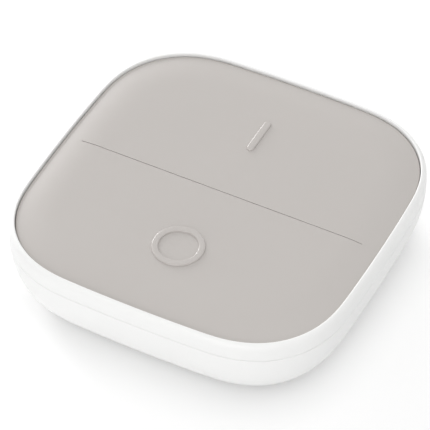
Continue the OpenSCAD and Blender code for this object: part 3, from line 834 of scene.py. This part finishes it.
door_rings = [level(door_outline(-edge_soft * 2), door_low_z)]
for turn in spread(0.0, quarter_turn, door_edge_steps):
    z = door_low_z + edge_soft * (1 - math.cos(turn))
    door_rings.append(level(door_outline(-edge_soft * (1 - math.sin(turn))), z))
door_rings.append(level(door_outline(0.0), door_inner))
door = skinned("battery_lid", door_rings)
tab_low = floor_top + tab_air
tab_high = tab_low + tab_thick
riser = 0.8 * mm
riser_low = door_inner - 0.5 * mm
riser_x = -bay_half_length + riser_gap
for way in (-1, 1):
    near = way * tab_middle - tab_width / 2
    far = way * tab_middle + tab_width / 2
    join(door, box((riser_x, near, riser_low), (riser_x + riser, far, tab_high)))
    join(door, box((-bay_half_length - bay_wall, near, tab_low), (riser_x + riser, far, tab_high)))
latch_x = bay_half_length - riser_gap
latch_half = latch_width / 2
join(door, box((latch_x - riser, -latch_half, riser_low), (latch_x, latch_half, tab_high)))
join(door, box((latch_x - riser / 2, -latch_half, tab_low), (latch_x + latch_barb, latch_half, tab_high)))

# The thumb scoop, a shallow piece of a sphere that is cut out of the lid
scoop_radius = 14.0 * mm
scoop_depth = 0.6 * mm
scoop_in = 5.0 * mm
scoop_angle = math.radians(24)
scoop_steps = 12
scoop_tip = 0.02 * mm
scoop = []
for turn in spread(scoop_angle, 0.0, scoop_steps):
    z = door_low_z + scoop_depth - scoop_radius + scoop_radius * math.cos(turn)
    scoop.append((max(scoop_radius * math.sin(turn), scoop_tip), z))
cut(door, turned((door_half_length - scoop_in, 0), scoop, steps=96))
smooth(door)
wear(door, white_plastic)
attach(door, "battery_door")
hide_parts("battery_door")


# Feet: four soft rubber discs with rounded rims and a fine moulded grain, pressed into their wells
# over the screw heads. The button stands on them.
foot_rubber = moulded(
    "foot_rubber", screen_colour(122, 122, 124), roughness=0.72, grain_size=0.25 * mm, relief=0.012 * mm,
    drift=0.03,
)
foot_rim = 0.25 * mm
foot_rim_steps = 6
foot = [(foot_radius - foot_rim * 2, 0.0)]
for turn in spread(0.0, quarter_turn, foot_rim_steps):
    foot.append((foot_radius - foot_rim + foot_rim * math.sin(turn), foot_rim - foot_rim * math.cos(turn)))
foot.append((foot_radius, foot_high.z))
feet = turned(foot_places[0], foot, steps=64)
for place in foot_places[1:]:
    join(feet, turned(place, foot, steps=64))
feet.name = "feet"
smooth(feet)
wear(feet, foot_rubber)
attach(feet, "case")
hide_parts("rubber_feet")


# Studio: the camera stands where the photograph's did, over a plain white floor, in soft light that
# comes mostly from the far left.
azimuth = math.radians(27.594)
elevation = math.radians(45.683)
roll = math.radians(-0.10)
distance = 610 * mm
target = Vector((2.28 * mm, -6.31 * mm, lip_z))
away = Vector((
    math.sin(azimuth) * math.cos(elevation), -math.cos(azimuth) * math.cos(elevation), math.sin(elevation),
))
right = Vector((math.cos(azimuth), math.sin(azimuth), 0))
up = away.cross(right)
camera_data = bpy.data.cameras.new("camera")
camera_data.lens = 254.47
camera_data.sensor_width = 36
camera_data.clip_start = 0.01
camera = bpy.data.objects.new("camera", camera_data)
side_axis = right * math.cos(roll) + up * math.sin(roll)
up_axis = up * math.cos(roll) - right * math.sin(roll)
camera.matrix_world = (
    Matrix.Translation(target + away * distance)
    @ Matrix((side_axis, up_axis, away)).transposed().to_4x4()
)
bpy.context.scene.collection.objects.link(camera)
bpy.context.scene.camera = camera


def lamp(name, direction, reach, size, strength):
    """A square soft lamp that looks at the object. Its strength is how bright it makes a white card there."""
    data = bpy.data.lights.new(name, "AREA")
    data.size = size
    data.energy = strength * (math.pi * reach) ** 2
    light = bpy.data.objects.new(name, data)
    way = Vector(direction).normalized()
    light.location = way * reach
    light.rotation_euler = way.to_track_quat("Z", "Y").to_euler()
    bpy.context.scene.collection.objects.link(light)


lamp("window_lamp", (0.1, 0.2, 0.97), reach=1.6, size=1.2, strength=0.17)
lamp("left_lamp", (-0.79, 0.57, 0.2), reach=1.4, size=0.55, strength=0.6)
lamp("front_lamp", (0.1, -0.96, 0.25), reach=1.4, size=0.9, strength=0.32)


def seen(wire):
    """1 where the camera, a mirror or a clear piece looks, and 0 where light only bounces."""
    camera_ray, glossy_ray, transmission_ray = (
        wire.node("LightPath", output="Is %s Ray" % kind) for kind in ("Camera", "Glossy", "Transmission")
    )
    return wire.maths("MAXIMUM", wire.maths("MAXIMUM", camera_ray, glossy_ray), transmission_ray)


world = bpy.data.worlds.new("studio")
world.use_nodes = True
background = world.node_tree.nodes["Background"]
background.inputs["Color"].default_value = (1, 1, 1, 1)
sky_light = 0.69
feed(background, Strength=seen(Wire(world.node_tree)) * (1 - sky_light) + sky_light)
bpy.context.scene.world = world
bpy.context.scene.view_settings.view_transform = "Standard"

floor_half = 3.0
floor_z = -0.02 * mm
floor_corners = rectangle((-floor_half, -floor_half), (floor_half, floor_half))
floor = new_piece("floor", level(floor_corners, floor_z), [(0, 1, 2, 3)])
floor_material, place, shader = new_finish("white_floor")
bounced_white = (0.9, 0.9, 0.9, 1)
seen_white = (1.08, 1.08, 1.08, 1)
feed(shader, Base_Color=seen(place).blended(bounced_white, seen_white))
shader.inputs["Roughness"].default_value = 1.0
shader.inputs["Specular IOR Level"].default_value = 0.0
wear(floor, floor_material)
